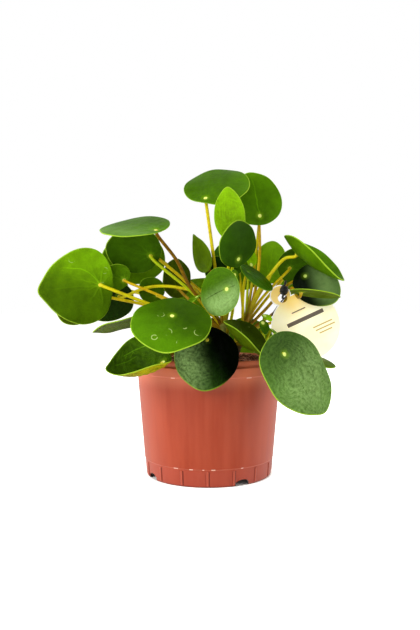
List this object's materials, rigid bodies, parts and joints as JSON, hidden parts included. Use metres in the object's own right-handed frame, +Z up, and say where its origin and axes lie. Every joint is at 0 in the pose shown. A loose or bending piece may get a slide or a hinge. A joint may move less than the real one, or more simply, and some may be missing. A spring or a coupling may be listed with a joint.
{
  "type": "potted pilea plant",
  "caption": "Round-leaved pilea houseplant in a terracotta-brown plastic nursery pot, with a blank round card tag on an elastic.",
  "frame": {"origin": "on the pot's axis, on the surface that the pot stands on", "axes": "+Z up along the pot's axis, -Y towards the viewer of the plant's best side, +X to that viewer's right"},
  "size_m": [0.2508, 0.1672, 0.264],
  "materials": {
    "pot_plastic": "satin moulded",
    "soil": "coarse and fibrous",
    "stem": "smooth living stem",
    "leaf": "waxy satin",
    "tag_card": "matt coated",
    "elastic": "braided"
  },
  "bodies": {
    "root": {"pot": "pot_plastic", "soil": "soil", "stem_and_stalks": "stem", "offset_shoot": "stem", "leaf_top_left": "leaf", "leaf_top_right": "leaf", "leaf_young_centre": "leaf", "leaf_centre_dark": "leaf", "leaf_centre_front": "leaf", "leaf_front_big": "leaf", "leaf_front_dark": "leaf", "leaf_front_right": "leaf", "leaf_lower_left": "leaf", "leaf_left_edge_on": "leaf", "leaf_left_big": "leaf", "leaf_left_behind": "leaf", "leaf_upper_left_under": "leaf", "leaf_upper_left_back": "leaf", "leaf_upper_left_flat": "leaf", "leaf_left_small": "leaf", "leaf_left_dark": "leaf", "leaf_small_dark": "leaf", "leaf_left_centre_back": "leaf", "leaf_centre_left_pointed": "leaf", "leaf_behind_centre": "leaf", "leaf_dark_under": "leaf", "leaf_young_bright": "leaf", "leaf_right_back": "leaf", "leaf_right_low_edge": "leaf", "leaf_centre_low": "leaf", "leaf_right_mid": "leaf", "leaf_right_top": "leaf", "leaf_right_low": "leaf", "leaf_right_edge_on": "leaf", "leaf_front_fold": "leaf", "leaf_behind_front_right": "leaf", "leaf_left_sliver": "leaf", "leaf_back_top": "leaf", "leaf_back_upper_left": "leaf", "leaf_back_left": "leaf", "leaf_back_centre": "leaf", "leaf_back_upper_right": "leaf", "leaf_back_right": "leaf", "leaf_back_left_low": "leaf", "leaf_back_low": "leaf", "leaf_back_right_low": "leaf", "leaf_back_middle": "leaf", "leaf_shoot_upper": "leaf", "leaf_shoot_front": "leaf", "leaf_shoot_side": "leaf", "tag": "tag_card", "tag_elastic": "elastic"}
  },
  "joints": []
}
